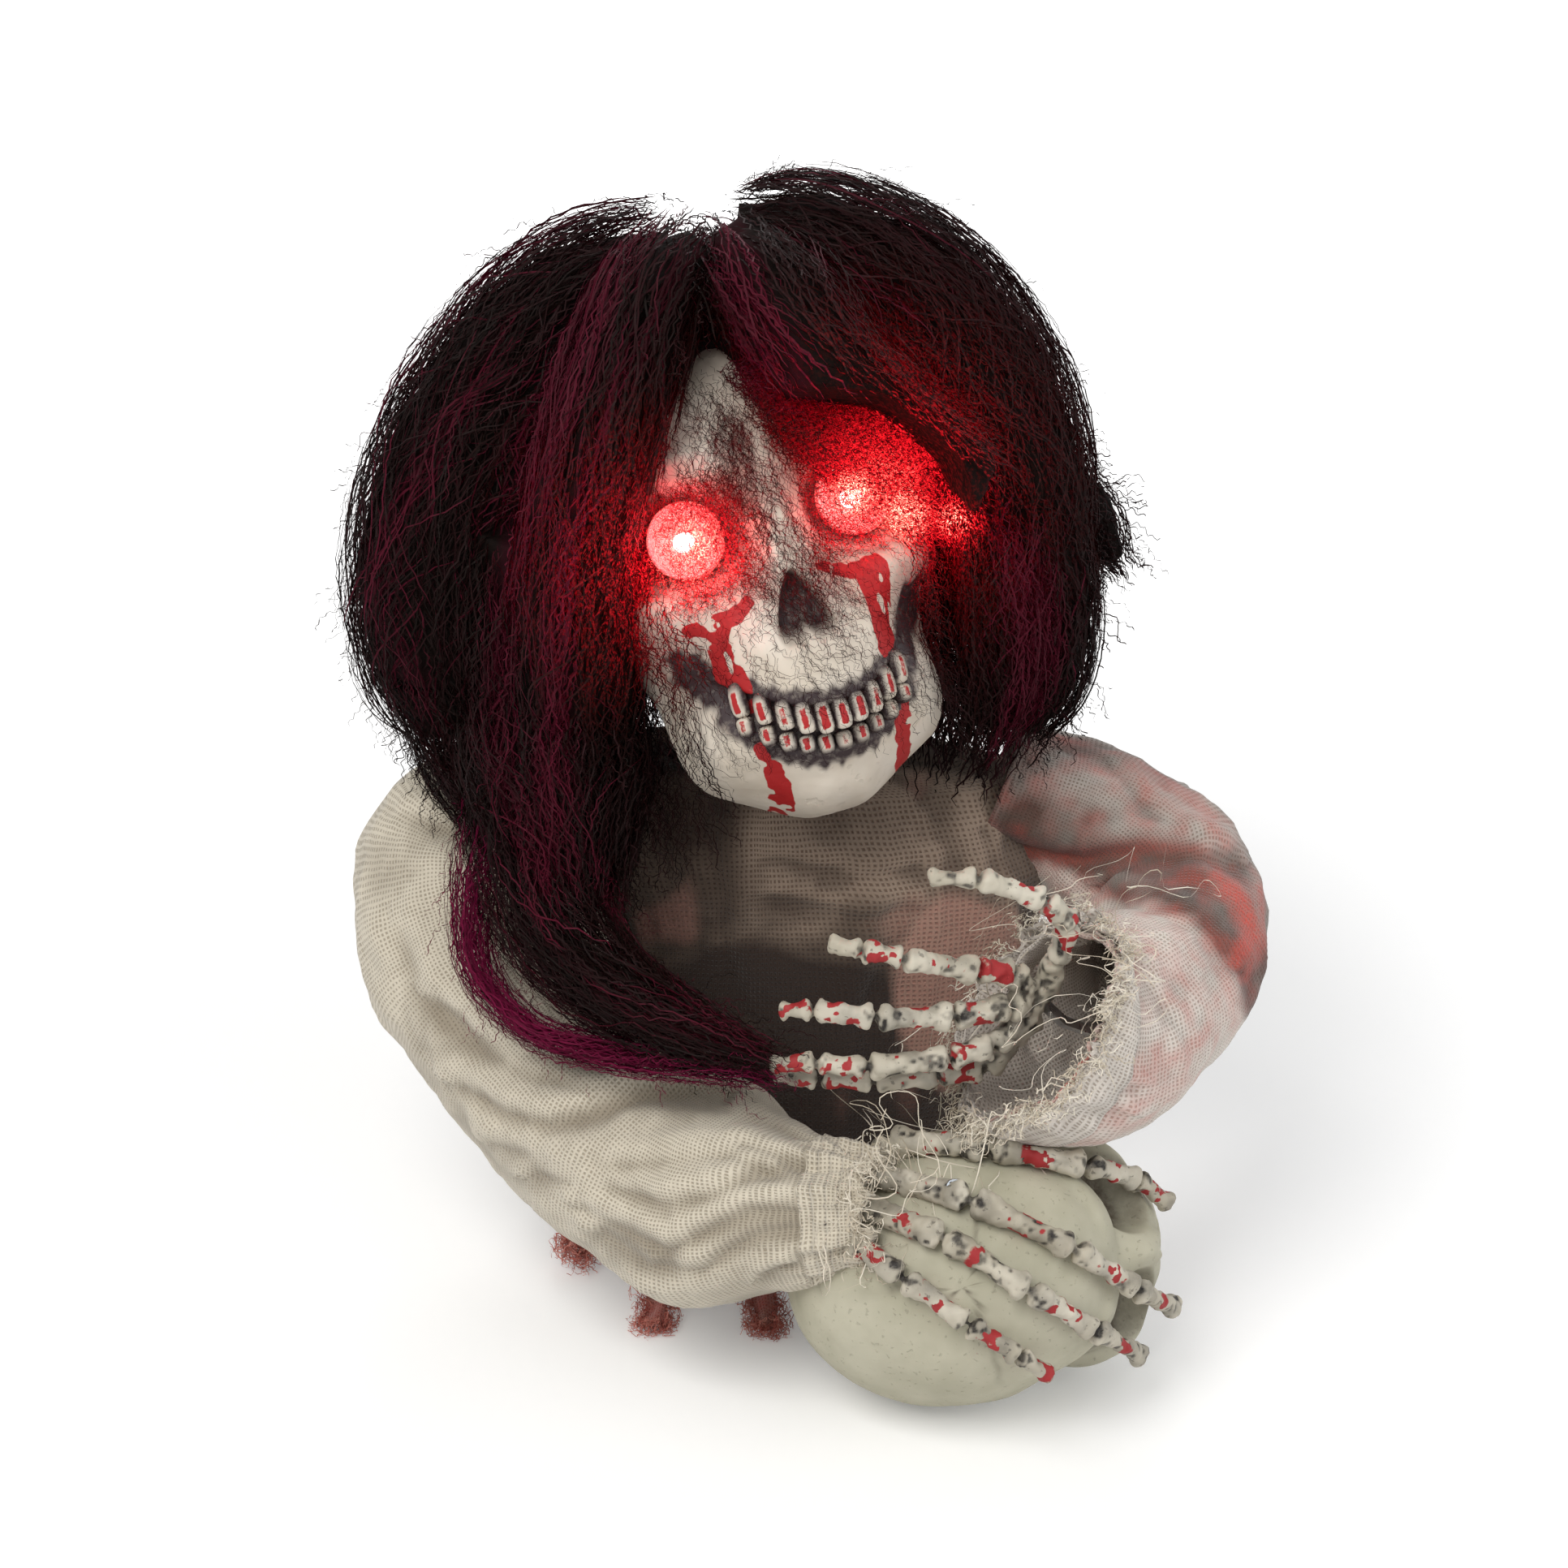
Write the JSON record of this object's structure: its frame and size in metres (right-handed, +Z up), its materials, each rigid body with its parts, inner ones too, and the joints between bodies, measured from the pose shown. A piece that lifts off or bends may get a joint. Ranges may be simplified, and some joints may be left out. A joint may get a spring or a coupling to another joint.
{
  "type": "halloween skull decoration",
  "caption": "Seated skeleton figure with a skull head, long hair, gauze gown and glowing red eyes that holds a second skull under one bony hand and turns its head.",
  "frame": {"origin": "middle of the base plate's underside, on the head's turning axis, where it rests on the table", "axes": "+Z up along the head's axis and the longest extent, -Y the way the figure faces and the shortest extent, +X towards the figure's left"},
  "size_m": [0.2831, 0.2712, 0.3444],
  "materials": {
    "black_abs": "moulded black ABS, fine texture",
    "steel": "plain steel",
    "zinc": "zinc plated",
    "acetal": "natural acetal",
    "cell_wrap": null,
    "board": "green solder mask",
    "skull_ivory": "ivory plastic with dark wash and red drips",
    "lamp_red": "clear red lens, lit",
    "cup_red": "translucent red, lit",
    "bone": "bone white with black wash and red paint",
    "held_grey": "grey-cream plastic with wash",
    "gauze_cream": "loose cream gauze",
    "gauze_pale": "loose off-white gauze with red stains",
    "gauze_brown": "loose brown-grey gauze",
    "gauze_red": "torn gauze strip, dyed red",
    "hair_black": "crimped black-brown fibre with burgundy",
    "hair_plum": "crimped plum fibre",
    "lead": "insulated lead"
  },
  "bodies": {
    "torso": {"base_plate": "black_abs", "base_screw_1": "steel", "base_screw_2": "steel", "battery_tray": "black_abs", "cell_1": "cell_wrap", "cell_2": "cell_wrap", "cell_3": "cell_wrap", "battery_contact_1": "steel", "battery_contact_2": "steel", "switch_body": "black_abs", "housing_front": "black_abs", "housing_back": "black_abs", "housing_screw_1": "steel", "housing_screw_2": "steel", "housing_screw_3": "steel", "housing_screw_4": "steel", "circuit_board": "board", "board_lead_1": "lead", "board_lead_2": "lead", "speaker": "black_abs", "mechanism_plate": "acetal", "gear_motor": "steel", "neck_bearing": "acetal", "shoulder_bearing": "acetal", "shoulder_frame": "black_abs", "shoulder_screw_1": "steel", "shoulder_screw_2": "steel", "right_arm_wire": "steel", "left_arm_wire": "steel", "right_hand": "bone", "left_hand": "bone", "hand_screw": "zinc", "held_skull": "held_grey", "gown": "gauze_brown", "collar": "gauze_brown", "gown_tatter_1": "gauze_red", "gown_tatter_2": "gauze_red", "gown_tatter_3": "gauze_red", "right_sleeve": "gauze_cream", "left_sleeve": "gauze_pale"},
    "door": {"battery_door": "black_abs"},
    "knob": {"switch_knob": "black_abs"},
    "pinion": {"motor_pinion": "acetal"},
    "head": {"neck_shaft": "steel", "sector_gear": "acetal", "head_mount": "black_abs", "skull_face": "skull_ivory", "skull_cranium": "skull_ivory", "right_led": "lamp_red", "left_led": "lamp_red", "right_eye_cup": "cup_red", "left_eye_cup": "cup_red", "led_lead_1": "lead", "led_lead_2": "lead", "hair_crown": "hair_black", "right_hair_fall": "hair_black", "left_hair_fall": "hair_black", "long_lock": "hair_plum"}
  },
  "joints": [
    {"name": "door_slide", "type": "slide", "parent": "torso", "child": "door", "axis": [0, 1, 0], "range_m": [0, 0.045]},
    {"name": "knob_slide", "type": "slide", "parent": "torso", "child": "knob", "axis": [1, 0, 0], "range_m": [-0.005, 0]},
    {"name": "head_turn", "type": "hinge", "parent": "torso", "child": "head", "pos_m": [0, 0, 0.2], "axis": [0, 0, 1], "range_deg": [-20, 20], "deforming": ["right_hair_fall", "left_hair_fall", "long_lock"]},
    {"name": "pinion_spin", "type": "hinge", "parent": "torso", "child": "pinion", "pos_m": [0.03, 0, 0.08], "axis": [0, 0, 1], "range_deg": [-60, 60]}
  ],
  "couplings": [
    {"joint": "pinion_spin", "follows": "head_turn", "ratio": -3}
  ]
}
